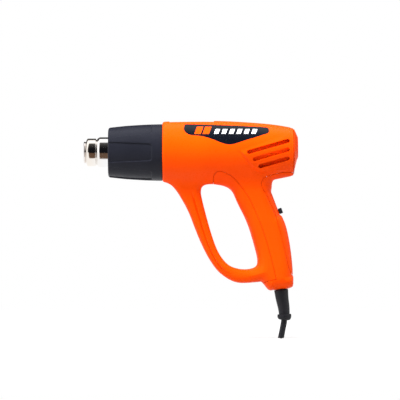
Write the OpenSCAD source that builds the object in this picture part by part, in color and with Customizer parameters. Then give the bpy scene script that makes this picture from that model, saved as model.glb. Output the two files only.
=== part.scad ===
// Heat gun with a closed loop handle.
// The nozzle axis is the X axis and the nozzle points to -X. The handle hangs
// towards -Z, and Y = 0 is the parting plane of the two housing halves.
// The origin is on the nozzle axis, half way along the seat of the accessories.

/* [Nozzle] */
// Diameter of the seat that takes the accessories
seat_d = 33.6; // [32:0.1:35]
// Length of the seat
seat_len = 9.3; // [8:0.1:9.6]
// Diameter of the tube behind the seat
tube_d = 36.8; // [36.4:0.1:37.4]
// Wall of the nozzle tube
tube_wall = 1; // [0.8:0.1:1.2]
// Diameter of the rolled lip at the outlet
lip_d = 26; // [24:0.5:28]

/* [Guard] */
// Where the guard starts on the nozzle axis
guard_front = 19.6; // [17:0.2:22]
// Diameter of the guard at its front
guard_front_d = 60.6; // [58:0.2:62]
// Diameter of the guard at its rear
guard_rear_d = 68.4; // [67:0.2:69]
// Number of flutes around the guard
flute_count = 6; // [4:1:8]
// Depth of each flute
flute_depth = 1.1; // [0.5:0.1:1.4]

/* [Body] */
// Where the housing starts on the nozzle axis
body_front = 84.5; // [84:0.1:86]
// Where the rear cap starts on the nozzle axis
cap_joint = 241.9; // [241:0.1:243]
// Where the flat rear face lies on the nozzle axis
rear_face = 246.9; // [246:0.1:250]
// Wall of the housing
wall = 2.6; // [2.2:0.1:3]
// Slant of the vent slots
vent_slant = 15; // [12:1:18]

/* [Handle] */
// Width of the handle
handle_w = 34; // [32:0.5:38]
// Width of the hand-guard bow
bow_w = 21; // [20:0.5:24]
// Thickness of the soft grip inserts
skin = 1.2; // [0.8:0.1:1.4]

/* [Switch] */
// Travel of the thumb button
switch_travel = 10; // [6:0.5:11]
// Width of the thumb button
button_w = 12; // [10:0.5:14]

/* [Motor and fan] */
// Diameter of the motor can
can_d = 35.8; // [34:0.2:36]
// Diameter of the motor shaft
shaft_d = 3.2; // [3:0.1:4]
// Number of impeller blades
blade_count = 9; // [5:1:12]
// Diameter over the impeller blades
impeller_d = 52.4; // [48:0.2:53]

/* [Heater] */
// Number of turns of the heating coil
coil_turns = 12; // [6:1:16]
// Mean diameter of the heating coil
coil_d = 24.4; // [23.8:0.1:27]
// Diameter of the heating wire
wire_d = 0.9; // [0.6:0.1:1]

/* [Cord] */
// Diameter of the mains cord
cord_d = 6.8; // [6:0.1:7.2]

/* [Hidden] */

$fn = 64;
orange = [1, 0.35, 0.05];
charcoal = [0.18, 0.19, 0.22];
black = [0.1, 0.1, 0.11];
steel = [0.78, 0.78, 0.8];
copper = [0.8, 0.45, 0.2];
brass = [0.8, 0.65, 0.3];
mica = [0.75, 0.68, 0.5];
ceramic = [0.92, 0.9, 0.84];
eps = 0.1;        // overlap of shapes that are joined or cut
gap = 0.1;        // clearance between pieces that are assembled
run = 0.04;       // radial clearance of turning pieces

// Seat and tube
seat_r = seat_d / 2;
tube_r = tube_d / 2;
tube_in = tube_r - tube_wall;
flange_x = 102.8;
flange_r = 28;
flange_t = 1.2;
flange_screw_r = 24;

// Body: a round section, raised a little above the nozzle axis
body_z = 1.2;
body_end = cap_joint - 0.3;
body_profile = [
    [body_front, 35.6], [105, 36.3], [147, 36.6], [184, 35],
    [204, 33.4], [220, 31.4], [237.6, 28.4], [body_end, 26.5]];
cap_r = 26.3;
spigot_r = 24;
face_r = 17.6;    // radius of the flat rear face before its lower edge is cut
face_low = -6;    // lower edge of the flat rear face

// Ring shaped ribs inside the body: start, length and inner radius
ribs = [
    [body_front, 4, 30.2], [101.6, 2.3, 29.2], [108.2, 1.8, 29.2],
    [132, 2, 28.8], [144, 2, 28.8]];

// Switch: its place on the straight back of the handle
recess_low = [225.3, -74.3];
recess_high = [214.9, -47];
recess_run = recess_high - recess_low;
switch_turn = -atan2(-recess_run[0], recess_run[1]);
button_len = 6.6;
button_h = 4.2;
switch_at = recess_low + recess_run / norm(recess_run) * 3.8;
stem_w = 6.4;
stem_len = 4.4;
carriage_x = -8.6;

// Foot and cord
foot_front = [213, -165.3];
foot_rear = [236, -162.7];
foot_run = foot_rear - foot_front;
cord_turn = -atan2(foot_run[1], foot_run[0]);
cord_at = foot_front + foot_run * 0.59;
cord_r = cord_d / 2;

// Screws of the housing: place, and reach of the boss to each side
boss_r = 4.4;
screw_r = 1.45;
screw_head_r = 2.8;
seat_y = 5;
screw_len = 13;
bosses = [
    [112, -46, 9], [131, -89, 9], [166, -144.6, 9], [208.5, -145, 14],
    [197.5, -46, 14], [226, 22, 30], [226, -20, 30]];

// A point of a smooth curve between b and c, with neighbours a and d
function curve_point(a, b, c, d, t) =
    0.5 * (2 * b + (c - a) * t + (2 * a - 5 * b + 4 * c - d) * t^2
        + (3 * b - a - 3 * c + d) * t^3);

// An open smooth curve through the points
function curve(p, steps) = concat(
    [for (i = [0 : len(p) - 2]) for (k = [0 : steps - 1])
        curve_point(p[max(i - 1, 0)], p[i], p[i + 1], p[min(i + 2, len(p) - 1)],
            k / steps)],
    [p[len(p) - 1]]);

// A closed smooth curve through the points
function loop(p, steps) = [for (i = [0 : len(p) - 1]) for (k = [0 : steps - 1])
    curve_point(p[(i + len(p) - 1) % len(p)], p[i], p[(i + 1) % len(p)],
        p[(i + 2) % len(p)], k / steps)];

// Outer edge of the bow and the handle, seen from the side
grip_outline = concat(
    [[217, -12], [90, -12]],
    curve([[85.5, -33.5], [97, -40.5], [106, -53.5], [115.5, -71], [123, -90],
        [132, -108], [143, -129], [156, -145], [175, -155.3], [203, -155]], 3),
    [[206.5, -159], [210.5, -163.8], foot_front, foot_rear, [240.6, -160.7],
        [242.5, -156], [241.5, -151], [240, -147]],
    curve([[240, -141], [238.2, -121.7], [235.2, -102.5], [231.8, -87],
        [227.8, -76.4]], 2),
    [recess_low, recess_high, [215, -37]]);

// The hole for the hand
hole_outline = loop([
    [148, -38], [134, -39.5], [130.3, -49], [135.5, -73], [145, -104.5],
    [153, -123.5], [165, -136.2], [182, -140], [196, -137.3], [199.3, -129],
    [195.5, -111], [187.5, -86.5], [175.8, -64], [164, -44]], 3);

// The line that parts the bow from the handle runs through the hole
bow_mask = [[80, 0], [158, 0], [158, -38], [194, -139], [194, -170], [80, -170]];
handle_mask = [[157, 0], [157, -38], [192, -139], [192, -170], [250, -170], [250, 0]];

// The grip inserts, seen from the side
front_grip_outline = concat(
    curve([[146, -40], [146.2, -28], [152, -22.7], [168, -29.2], [188.4, -54.8],
        [202, -85.2], [214, -123.7], [220.6, -152]], 3),
    [[205, -155.5], [190, -145]]);
rear_grip_outline = concat(
    [[218, -26], [206.2, -30.5]],
    curve([[203.4, -37], [209.4, -50.8], [219.5, -73.2], [228.7, -106.3],
        [236.2, -139.2], [240.1, -146.4]], 3),
    [[250, -146.4], [250, -26]]);

// The decal panel, seen from the side
decal_end = [208, 26];
decal_end_r = 4.2;
decal_outline = concat(
    curve([[112, 33.7], [160, 32.4], [208, 30.2]], 2),
    [for (a = [60 : -30 : -60]) decal_end + decal_end_r * [cos(a), sin(a)]],
    curve([[208, 21.6], [196, 18], [183, 14.3], [171, 10.6], [164, 9.8],
        [156, 11.3], [143, 16.1], [131, 19.3], [118.5, 20.6], [112.5, 23.6],
        [110.2, 28.5]], 2));

// Turns a profile of [x, radius] points about the nozzle axis
module turned(profile) {
    rotate([0, 90, 0]) rotate_extrude($fn = 96)
        polygon([for (p = profile) [p[1], p[0]]]);
}

// A straight pipe or rod on the nozzle axis
module pipe(x, length, outer, inner = 0) {
    translate([x, 0, 0]) rotate([0, 90, 0]) difference() {
        cylinder(h = length, r = outer);
        if (inner > 0)
            translate([0, 0, -eps]) cylinder(h = length + 2 * eps, r = inner);
    }
}

// A slab from an outline seen from the side, between y0 and y1
module slab(y0, y1) {
    translate([0, y1, 0]) rotate([90, 0, 0]) linear_extrude(y1 - y0) children();
}

// A pin along Y, from y0 to y1
module pin(x, z, y0, y1, r) {
    translate([x, y1, z]) rotate([90, 0, 0]) cylinder(h = y1 - y0, r = r, $fn = 32);
}

// A round wire through a list of points
module wire(points, r) {
    for (i = [0 : len(points) - 2]) {
        step = points[i + 1] - points[i];
        translate(points[i])
            rotate([0, acos(step[2] / norm(step)), atan2(step[1], step[0])])
                cylinder(h = norm(step), r = r, $fn = 16);
        if (i > 0) translate(points[i]) sphere(r = 1.04 * r, $fn = 16);
    }
}

// Local frame of the switch: +X leaves the handle, +Z is the slide direction
module at_switch() {
    translate([switch_at[0], 0, switch_at[1]]) rotate([0, switch_turn, 0]) children();
}

// Local frame of the cord: -Z runs down the cord from the bottom of the foot
module at_cord() {
    translate([cord_at[0], 0, cord_at[1]]) rotate([0, cord_turn, 0]) children();
}

// The round body, made smaller by trim on its radius
module body_solid(trim, reach = 0) {
    first = body_profile[0];
    last = body_profile[len(body_profile) - 1];
    translate([0, 0, body_z]) turned(concat(
        [[first[0] - reach, 0], [first[0] - reach, first[1] - trim]],
        [for (p = body_profile) [p[0], p[1] - trim]],
        [[last[0] + reach, last[1] - trim], [last[0] + reach, 0]]));
}

// One width of the handle and bow, with a stepped edge
module grip_part(mask, half, edge, trim) {
    slab(-half + edge, half - edge) intersection() {
        offset(delta = -trim) grip_side();
        polygon(mask);
    }
    slab(-half, half) intersection() {
        offset(delta = -trim - 0.6 * edge) grip_side();
        polygon(mask);
    }
}

module grip_side() {
    difference() {
        polygon(grip_outline);
        polygon(hole_outline);
    }
}

// The handle and bow, made smaller by trim all round
module grip_solid(trim) {
    grip_part(bow_mask, bow_w / 2 - trim, 3, trim);
    grip_part(handle_mask, handle_w / 2 - trim, 6, trim);
}

// The hollow inside the handle and bow
module grip_hollow() {
    handle_wall = 4.2;
    bow_wall = 3.8;
    slab(-handle_w / 2 + 5.2, handle_w / 2 - 5.2) intersection() {
        offset(delta = -handle_wall) grip_side();
        polygon(handle_mask);
    }
    slab(-bow_w / 2 + 4, bow_w / 2 - 4) intersection() {
        offset(delta = -bow_wall) grip_side();
        polygon(bow_mask);
    }
}

// The outer layer of the handle inside an outline, of a given depth
module grip_layer(depth) {
    difference() {
        intersection() {
            grip_part(handle_mask, handle_w / 2, 6, 0);
            slab(-handle_w, handle_w) children();
        }
        grip_part(handle_mask, handle_w / 2 - depth, 6, depth);
        body_solid(0);
    }
}

// The openings of the switch, the cord and the vents
module switch_slot() {
    at_switch() translate([-10, -stem_w / 2 - 0.4, -stem_len / 2 - 0.4])
        cube([14, stem_w + 0.8, stem_len + switch_travel + 0.8]);
}

module cord_hole() {
    at_cord() translate([0, 0, -6]) cylinder(h = 14, r = 6.5);
}

module vent_slot(x_rear, z_rear, length) {
    half = 2.3;
    translate([x_rear - half, z_rear]) rotate(180 + vent_slant) {
        circle(half, $fn = 24);
        translate([0, -half]) square([length - 2 * half, 2 * half]);
        translate([length - 2 * half, 0]) circle(half, $fn = 24);
    }
}

module vent_slots() {
    slots = 3;
    for (side = [-1, 1]) for (i = [0 : slots - 1])
        slab(side > 0 ? 14 : -40, side > 0 ? 40 : -14)
            vent_slot(236.3, 13.8 - 10.6 * i, 51.5 - 6.9 * i);
}

// The recesses of the decals and of the top insert
module decal_plate(outer, inner, margin, side) {
    intersection() {
        slab(side > 0 ? 4 : -40, side > 0 ? 40 : -4)
            offset(delta = margin) polygon(decal_outline);
        difference() {
            body_solid(outer);
            body_solid(inner, eps);
        }
    }
}

module top_plate(outer, inner, margin) {
    x0 = 93.2;
    length = 52.6;
    half = 8;
    intersection() {
        translate([x0 - margin, -half - margin, 20])
            cube([length + 2 * margin, 2 * (half + margin), 30]);
        difference() {
            body_solid(outer);
            body_solid(inner, eps);
        }
    }
}

// Both housing halves in one, before the parting cut
module housing_shell() {
    difference() {
        union() {
            body_solid(0);
            grip_solid(0);
        }
        body_solid(wall, eps);
        grip_hollow();
        vent_slots();
        switch_slot();
        cord_hole();
        for (side = [-1, 1]) decal_plate(-1, 0.7, gap, side);
        top_plate(-4, 1.8, gap);
        grip_layer(skin + gap) offset(delta = gap) polygon(front_grip_outline);
        grip_layer(skin + gap) offset(delta = gap) polygon(rear_grip_outline);
    }
    difference() {
        intersection() {
            body_solid(2.1);
            for (r = ribs) pipe(r[0], r[1], 42, r[2]);
        }
        translate([100, -7, -40]) cube([50, 14, 14]);
    }
    vent_baffles();
}

// Inner walls that stand behind the vent slots, open at their front and rear
module vent_baffles() {
    from_axis = can_d / 2 + 0.5;
    intersection() {
        body_solid(1);
        for (y = [-from_axis - 1.6, from_axis])
            translate([184, y, -30]) cube([50, 1.6, 60]);
    }
}

// The bosses of one half, from the parting plane outwards
module half_bosses(side) {
    for (b = bosses) intersection() {
        pin(b[0], b[1], side > 0 ? 0 : -b[2], side > 0 ? b[2] : 0, boss_r);
        if (b[2] > handle_w / 2) body_solid(1);
        else slab(-b[2], b[2]) square(600, center = true);
    }
}

module half_space(side) {
    translate([-50, side > 0 ? 0 : -60, -250]) cube([400, 60, 320]);
}

module housing_left() {
    clamp_post_x = 7;
    color(orange) difference() {
        union() {
            intersection() {
                housing_shell();
                half_space(-1);
            }
            half_bosses(-1);
            at_cord() for (s = [-1, 1])
                translate([s * clamp_post_x, 3.4, 18]) rotate([90, 0, 0])
                    cylinder(h = 16, r = 2.8, $fn = 32);
        }
        for (b = bosses) pin(b[0], b[1], -8.4, eps, screw_r + 0.05);
        at_cord() for (s = [-1, 1])
            translate([s * clamp_post_x, 3.5, 18]) rotate([90, 0, 0])
                cylinder(h = 9, r = 1.25, $fn = 32);
    }
}

module housing_right() {
    color(orange) difference() {
        union() {
            intersection() {
                housing_shell();
                half_space(1);
            }
            half_bosses(1);
        }
        for (b = bosses) {
            pin(b[0], b[1], -eps, seat_y + eps, 1.7);
            pin(b[0], b[1], seat_y, 40, screw_head_r + 0.3);
        }
    }
}

module rear_cap() {
    lip = cap_joint + 0.6;
    inside = rear_face - 2.8;
    outer_side = [
        [230, 40], [rear_face + 1, 40], [rear_face + 1, face_low],
        [rear_face, face_low], [243.4, -18.5], [lip, -21], [lip, -40], [230, -40]];
    inner_side = [
        [230, 40], [inside, 40], [inside, face_low - 1], [240.7, -18.8],
        [240.7, -40], [230, -40]];
    color(orange) difference() {
        intersection() {
            translate([0, 0, body_z]) turned([
                [236.6, 0], [236.6, spigot_r - 0.2], [cap_joint, spigot_r - 0.2],
                [cap_joint, cap_r], [cap_joint + 0.6, cap_r - 0.4],
                [rear_face, face_r], [rear_face, 0]]);
            slab(-40, 40) polygon(outer_side);
        }
        intersection() {
            translate([0, 0, body_z]) turned([
                [236, 0], [236, spigot_r - 2.2], [cap_joint + 0.2, spigot_r - 2.2],
                [inside + 0.5, face_r - 2], [inside + 0.5, 0]]);
            slab(-40, 40) polygon(inner_side);
        }
    }
}

module top_insert() {
    color(orange) top_plate(0.7, 1.7, 0);
}

module decal_left() {
    color(black) decal_plate(0.05, 0.6, 0, -1);
}

module decal_right() {
    color(black) decal_plate(0.05, 0.6, 0, 1);
}

module front_grip() {
    color(orange) difference() {
        grip_layer(skin) polygon(front_grip_outline);
        for (b = bosses) pin(b[0], b[1], seat_y, 40, screw_head_r + 0.3);
    }
}

module rear_grip() {
    color(orange) difference() {
        grip_layer(skin) polygon(rear_grip_outline);
        switch_slot();
    }
}

module nozzle_tube() {
    half = seat_len / 2;
    lip_r = lip_d / 2;
    w = tube_wall;
    color(steel) difference() {
        turned([
            [-9.8, lip_r - w], [-9.8, lip_r], [-7, lip_r], [-6.4, 15.4],
            [-half, seat_r], [half, seat_r], [half + 1, seat_r - 1.8],
            [half + 2, seat_r - 0.6], [9.1, tube_r], [flange_x, tube_r],
            [flange_x, flange_r], [flange_x + flange_t, flange_r],
            [flange_x + flange_t, tube_in], [9.5, tube_in], [half + 2.4, seat_r - w - 0.6],
            [half + 1, seat_r - w - 1.8], [half - 0.4, seat_r - w],
            [-half, seat_r - w], [-5.6, lip_r - w]]);
        for (a = [30 : 120 : 270]) rotate([a, 0, 0])
            translate([flange_x - 1, 0, flange_screw_r]) rotate([0, 90, 0])
                cylinder(h = 4, r = 1.7);
    }
}

module barrel_guard() {
    front_r = guard_front_d / 2;
    rear_r = guard_rear_d / 2;
    shell = 2.4;
    outer = [
        [guard_front, front_r - 3.5], [guard_front + 1, front_r - 1],
        [guard_front + 3.5, front_r], [43.4, front_r + 0.54 * (rear_r - front_r)],
        [62.8, rear_r - 0.5], [body_front - gap, rear_r]];
    spigot_x = body_front + 7.5;
    color(charcoal) difference() {
        turned(concat(
            outer,
            [[body_front - gap, 30.1], [body_front + 4.2, 30.1], [body_front + 4.2, 31.4],
                [spigot_x, 31.4], [spigot_x, 27.5], [body_front - 2, 27.5],
                [body_front - 4, rear_r - shell], [62.8, rear_r - shell - 0.5],
                [guard_front + 4, front_r - shell - 0.6], [guard_front + 2.6, 26],
                [guard_front + 2.6, 20.4], [guard_front, 20.4]]));
        for (i = [0 : flute_count - 1]) rotate([i * 360 / flute_count + 90, 0, 0])
            difference() {
                flute_prism();
                turned(concat(
                    [[guard_front - 2, 0]],
                    [for (p = outer) [p[0] - 0.01, p[1] - flute_depth]],
                    [[body_front, 0]]));
            }
    }
}

// The outline of one flute, standing up from the nozzle axis
module flute_prism() {
    front_half = 12.7;
    rear_half = 10;
    corner = 4;
    end = 72.4;
    start = guard_front - 1;
    translate([0, 0, 20]) linear_extrude(20) {
        polygon([
            [start, -front_half], [end - corner, -rear_half], [end - corner, rear_half],
            [start, front_half]]);
        translate([end - corner, corner - rear_half])
            square([corner, 2 * (rear_half - corner)]);
        for (s = [-1, 1]) translate([end - corner, s * (rear_half - corner)])
            circle(corner, $fn = 32);
    }
}

module housing_screws() {
    color(steel) for (b = bosses) {
        pin(b[0], b[1], seat_y - screw_len, seat_y + 0.5, screw_r);
        pin(b[0], b[1], seat_y + 0.02, seat_y + 2.2, screw_head_r);
    }
}

module mica_sleeve() {
    color(mica) pipe(14, 87.5, tube_in - 0.4, tube_in - 1);
}

module heater_former() {
    sheet = 0.8;
    edge = coil_d / 2 - wire_d / 2 - 0.15;
    rim = tube_in - 1.15;
    color(mica) for (a = [0, 90]) rotate([a, 0, 0]) {
        translate([16, -sheet / 2, -edge]) cube([85, sheet, 2 * edge]);
        for (x = [16, 96]) translate([x, -sheet / 2, -rim]) cube([5, sheet, 2 * rim]);
    }
}

module heating_coil() {
    first = 25;
    last = 92;
    pitch = (last - first) / (coil_turns - 1);
    color(steel) {
        for (i = [0 : coil_turns - 1]) translate([first + i * pitch, 0, 0])
            rotate([0, 90, 0]) rotate_extrude(convexity = 4)
                translate([coil_d / 2, 0]) circle(wire_d / 2, $fn = 16);
        rotate([45, 0, 0]) translate([first, 0, coil_d / 2]) rotate([0, 90, 0])
            cylinder(h = last - first + 8, r = wire_d / 2, $fn = 16);
    }
}

module heater_base() {
    x = flange_x + flange_t + 0.05;
    thick = 4;
    color(ceramic) difference() {
        union() {
            pipe(x, thick, 31.4, 18);
            for (a = [0, 90]) rotate([a, 0, 0])
                translate([x, -2.5, -20]) cube([thick, 5, 40]);
        }
        for (a = [30 : 120 : 270]) rotate([a, 0, 0])
            translate([x - 1, 0, flange_screw_r]) rotate([0, 90, 0])
                cylinder(h = 6, r = 1.55);
    }
}

module heater_terminals() {
    x = flange_x + flange_t + 0.05 + 4.02;
    color(brass) for (p = [[-10, 0], [10, 0], [0, -10]]) {
        translate([x, p[0] - 2, p[1] - 0.5]) cube([6, 4, 1]);
        translate([x, p[0] - 2, p[1] - 2]) cube([0.8, 4, 4]);
    }
}

module thermal_cutout() {
    x = flange_x + flange_t + 0.05 + 4.02;
    color(steel) {
        translate([x, -2.4, 5]) cube([8, 4.8, 8]);
        translate([x + 2, -1, 13 - eps]) cube([3, 2, 3]);
    }
}

module flange_screws() {
    color(steel) for (a = [30 : 120 : 270]) rotate([a, 0, 0])
        translate([flange_x - 0.05, 0, flange_screw_r]) rotate([0, 90, 0]) {
            translate([0, 0, -2]) cylinder(h = 2, r = 2.7, $fn = 32);
            translate([0, 0, -eps]) cylinder(h = 5, r = 1.45, $fn = 32);
        }
}

module fan_shroud() {
    t = 1.4;
    fan_in = impeller_d / 2 + 0.8;
    hub_x = 149;
    color(black) {
        difference() {
            turned([
                [118, 18], [128, fan_in], [hub_x, fan_in], [hub_x, fan_in + t],
                [127.4, fan_in + t], [117.4, 18 + t]]);
        }
        for (a = [45 : 90 : 315]) rotate([a, 0, 0])
            translate([hub_x - 3, -2, 19]) cube([3, 4, fan_in - 18.5]);
        difference() {
            union() {
                pipe(hub_x - 3, 3, 20, 4.8);
                pipe(hub_x - 0.1, 9, 20, can_d / 2 + 0.1);
            }
            for (s = [-1, 1]) translate([hub_x - 4, 10 * s, 0]) rotate([0, 90, 0])
                cylinder(h = 6, r = 1.6, $fn = 32);
        }
    }
}

module fan_impeller() {
    x = 130;
    length = 12.5;
    hub = 8;
    color(charcoal) difference() {
        union() {
            pipe(x, length, hub);
            intersection() {
                for (i = [0 : blade_count - 1]) rotate([i * 360 / blade_count, 0, 0])
                    translate([x + length / 2, 0, hub - 2]) rotate([0, 0, 38])
                        translate([-9, -0.6, 0]) cube([18, 1.2, impeller_d / 2]);
                pipe(x + 0.5, length - 1, impeller_d / 2);
            }
        }
        pipe(x - 1, length + 2, shaft_d / 2 + 0.02);
    }
}

module motor_shaft() {
    color(steel) pipe(128, 73, shaft_d / 2);
}

module motor_can() {
    x = 149.1;
    can_r = can_d / 2;
    color(steel) difference() {
        pipe(x, 46, can_r);
        pipe(x + 1.2, 50, can_r - 1.2);
        pipe(x - 1, 4, 4.2);
        for (s = [-1, 1]) translate([x - 1, 10 * s, 0]) rotate([0, 90, 0])
            cylinder(h = 4, r = 1.5, $fn = 32);
    }
}

module motor_magnets() {
    outer = can_d / 2 - 1.3;
    arc = 130;
    color([0.25, 0.25, 0.27]) for (s = [0, 180]) rotate([s, 0, 0])
        translate([156, 0, 0]) rotate([0, 90, 0]) rotate([0, 0, 90 - arc / 2 + 90])
            rotate_extrude(angle = arc) translate([outer - 2.6, 0]) square([2.6, 28]);
}

module armature_core() {
    slots = 5;
    color([0.5, 0.5, 0.53]) difference() {
        pipe(159, 22, 13.2, shaft_d / 2 + 0.02);
        for (i = [0 : slots - 1]) rotate([i * 360 / slots, 0, 0])
            translate([158, -1.2, 9]) cube([24, 2.4, 6]);
    }
}

module armature_windings() {
    color(copper) for (x = [155, 181.05])
        pipe(x, 3.9, 11.5, shaft_d / 2 + 0.4);
}

module commutator() {
    color(brass) pipe(186, 6, 4.8, shaft_d / 2 + 0.02);
}

module motor_bushes() {
    color(brass) for (x = [148, 195.6])
        pipe(x, 4, 4.1, shaft_d / 2 + run);
}

module motor_end_cap() {
    x = 195.15;
    can_in = can_d / 2 - 1.3;
    color(black) difference() {
        union() {
            pipe(x - 2.5, 2.6, can_in, can_in - 2);
            pipe(x, 3, can_d / 2);
            pipe(x, 5.5, 6.5);
        }
        pipe(x - 3, 4, 3.2);
        pipe(x - 0.5, 7, 4.15);
    }
}

module motor_brushes() {
    color([0.2, 0.2, 0.2]) for (s = [-1, 1]) {
        translate([187.4, s > 0 ? 4.9 : -12.9, -2]) cube([3.2, 8, 4]);
    }
}

module motor_screws() {
    color(steel) for (s = [-1, 1]) translate([145.95, 10 * s, 0]) rotate([0, 90, 0]) {
        translate([0, 0, -2]) cylinder(h = 2, r = 2.6, $fn = 32);
        translate([0, 0, -eps]) cylinder(h = 5.6, r = 1.4, $fn = 32);
    }
}

module rectifier_board() {
    color([0.15, 0.4, 0.2]) difference() {
        translate([202, -14, -13]) cube([1.6, 28, 26]);
        pipe(201, 4, 2.6);
    }
}

module rectifier_diodes() {
    color(black) for (y = [-9, 9]) for (z = [-6, 6])
        translate([203.65, y - 3, z - 1.5]) cube([3, 6, 3]);
}

module capacitor() {
    color([0.7, 0.5, 0.15]) translate([203.65, -5, -2.5]) cube([7, 10, 5]);
}

module switch_button() {
    rib_count = 4;
    color(black) at_switch() {
        difference() {
            translate([0.3, -button_w / 2, -button_len / 2])
                cube([button_h - 0.3, button_w, button_len]);
            for (i = [0 : rib_count - 1])
                translate([button_h - 0.6, -button_w, (i - 1.5) * 1.5 - 0.35])
                    cube([2, 2 * button_w, 0.7]);
        }
        translate([carriage_x + 3.1, -stem_w / 2, -stem_len / 2])
            cube([-carriage_x - 2, stem_w, stem_len]);
    }
}

module switch_carriage() {
    color([0.85, 0.85, 0.82]) at_switch() {
        translate([carriage_x, -5.5, -4]) cube([3, 11, 8]);
        translate([carriage_x - 2, -1.5, -1.5]) cube([2 + eps, 3, 3]);
    }
}

module switch_body() {
    color([0.2, 0.2, 0.22]) at_switch() difference() {
        translate([carriage_x - 14.1, -8, -8]) cube([14, 16, 28]);
        translate([carriage_x - 3, -2, -2]) cube([4, 4, 4 + switch_travel]);
    }
}

module switch_terminals() {
    color(brass) at_switch() for (z = [-4, 6, 16]) for (s = [-1, 1])
        translate([carriage_x - 19.15, s * 5 - 0.4, z - 2]) cube([5, 0.8, 4]);
}

module cable_clamp() {
    color(black) at_cord() difference() {
        translate([-10, cord_r + 0.15, 14.5]) cube([20, 3.4, 7]);
        for (s = [-1, 1]) translate([7 * s, 10, 18]) rotate([90, 0, 0])
            cylinder(h = 9, r = 1.4, $fn = 32);
    }
}

module clamp_screws() {
    head_y = cord_r + 3.6;
    color(steel) at_cord() for (s = [-1, 1]) translate([7 * s, head_y, 18])
        rotate([90, 0, 0]) {
            translate([0, 0, -1.8]) cylinder(h = 1.8, r = 2.3, $fn = 32);
            translate([0, 0, -eps]) cylinder(h = 9, r = 1.2, $fn = 32);
        }
}

module cord_boot() {
    length = 36.5;
    color(black) at_cord() difference() {
        rotate_extrude() polygon([
            [0, 8.4], [7.6, 8.4], [7.6, 4.6], [6.3, 4.6], [6.3, -0.3], [8.25, -0.3],
            [6.1, -length + 7.5], [8, -length + 3], [8, -length], [0, -length]]);
        translate([0, 0, -length - 1]) cylinder(h = length + 12, r = cord_r + 0.1);
        translate([0, 0, -length - 0.01]) cylinder(h = 4, r1 = 6.8, r2 = 4.5);
    }
}

// The path of the cord, in its own frame
cord_path = [[0, 0, 23], [0, 0, -37.5], [-3.6, 0, -47], [-7, 0, -59]];

module cord_sheath() {
    color(black) at_cord() difference() {
        wire(cord_path, cord_r);
        for (s = [-1, 1]) translate([0, 1.6 * s, 13]) cylinder(h = 12, r = 1.25);
    }
}

module cord_cores() {
    color([0.45, 0.3, 0.2]) for (s = [-1, 1])
        at_cord() wire([[0, 1.6 * s, 13.1], [0, 1.6 * s, 30], [-6, 3 * s, 44],
            [-18, 3 * s, 62]], 1.15);
}

module internal_leads() {
    color([0.6, 0.2, 0.15]) {
        for (y = [-3, 3])
            wire([[190.5, y, -62], [190.5, y, -30.6], [113, y, -30.6], [113, y, -13]], 1.1);
        wire([[203, 0, -52], [206, 0, -30], [206, 0, -14.5]], 1.1);
    }
}

nozzle_tube();
barrel_guard();
housing_left();
housing_right();
rear_cap();
top_insert();
decal_left();
decal_right();
front_grip();
rear_grip();
housing_screws();
mica_sleeve();
heater_former();
heating_coil();
heater_base();
heater_terminals();
thermal_cutout();
flange_screws();
fan_shroud();
fan_impeller();
motor_shaft();
motor_can();
motor_magnets();
armature_core();
armature_windings();
commutator();
motor_bushes();
motor_end_cap();
motor_brushes();
motor_screws();
rectifier_board();
rectifier_diodes();
capacitor();
switch_button();
switch_carriage();
switch_body();
switch_terminals();
cable_clamp();
clamp_screws();
cord_boot();
cord_sheath();
cord_cores();
internal_leads();
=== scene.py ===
"""Heat gun: the looks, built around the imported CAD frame.

Shapes are worked out in millimetres, in the frame's own axes: -X is the blowing
direction, +Z is up and Y = 0 is the parting plane. Meshes are made in metres.
"""
import math

import bmesh
import bpy
import numpy as np
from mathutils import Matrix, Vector


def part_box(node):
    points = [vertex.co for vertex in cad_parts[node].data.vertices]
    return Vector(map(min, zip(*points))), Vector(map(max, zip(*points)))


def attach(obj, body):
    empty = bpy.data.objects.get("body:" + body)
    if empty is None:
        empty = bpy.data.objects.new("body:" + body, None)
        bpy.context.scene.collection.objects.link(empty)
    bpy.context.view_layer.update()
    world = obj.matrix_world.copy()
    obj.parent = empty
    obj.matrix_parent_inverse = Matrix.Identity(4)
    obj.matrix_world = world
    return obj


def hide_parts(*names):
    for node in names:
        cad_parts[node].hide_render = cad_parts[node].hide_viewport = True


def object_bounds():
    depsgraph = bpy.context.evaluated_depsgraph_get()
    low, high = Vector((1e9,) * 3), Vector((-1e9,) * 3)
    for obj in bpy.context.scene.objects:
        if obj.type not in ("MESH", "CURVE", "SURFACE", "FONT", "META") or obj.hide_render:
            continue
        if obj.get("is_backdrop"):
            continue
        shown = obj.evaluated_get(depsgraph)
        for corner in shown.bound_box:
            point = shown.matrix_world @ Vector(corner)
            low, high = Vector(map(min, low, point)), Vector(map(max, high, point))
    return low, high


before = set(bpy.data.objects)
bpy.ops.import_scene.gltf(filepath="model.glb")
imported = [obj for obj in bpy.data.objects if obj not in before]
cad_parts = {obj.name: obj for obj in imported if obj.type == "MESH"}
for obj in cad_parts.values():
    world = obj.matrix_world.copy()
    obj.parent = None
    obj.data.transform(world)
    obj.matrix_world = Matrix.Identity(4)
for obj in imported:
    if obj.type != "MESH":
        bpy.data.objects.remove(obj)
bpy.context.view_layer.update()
MM = 0.001


def cad_box(node):
    """Lowest and highest corner of a CAD node, in millimetres."""
    lo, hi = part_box(node)
    return np.array(lo) / MM, np.array(hi) / MM


# ----------------------------------------
# Driving dimensions, from the CAD frame
# ----------------------------------------
GUARD_LO, GUARD_HI = cad_box("barrel_guard")
CAP_LO, CAP_HI = cad_box("rear_cap")

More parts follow.
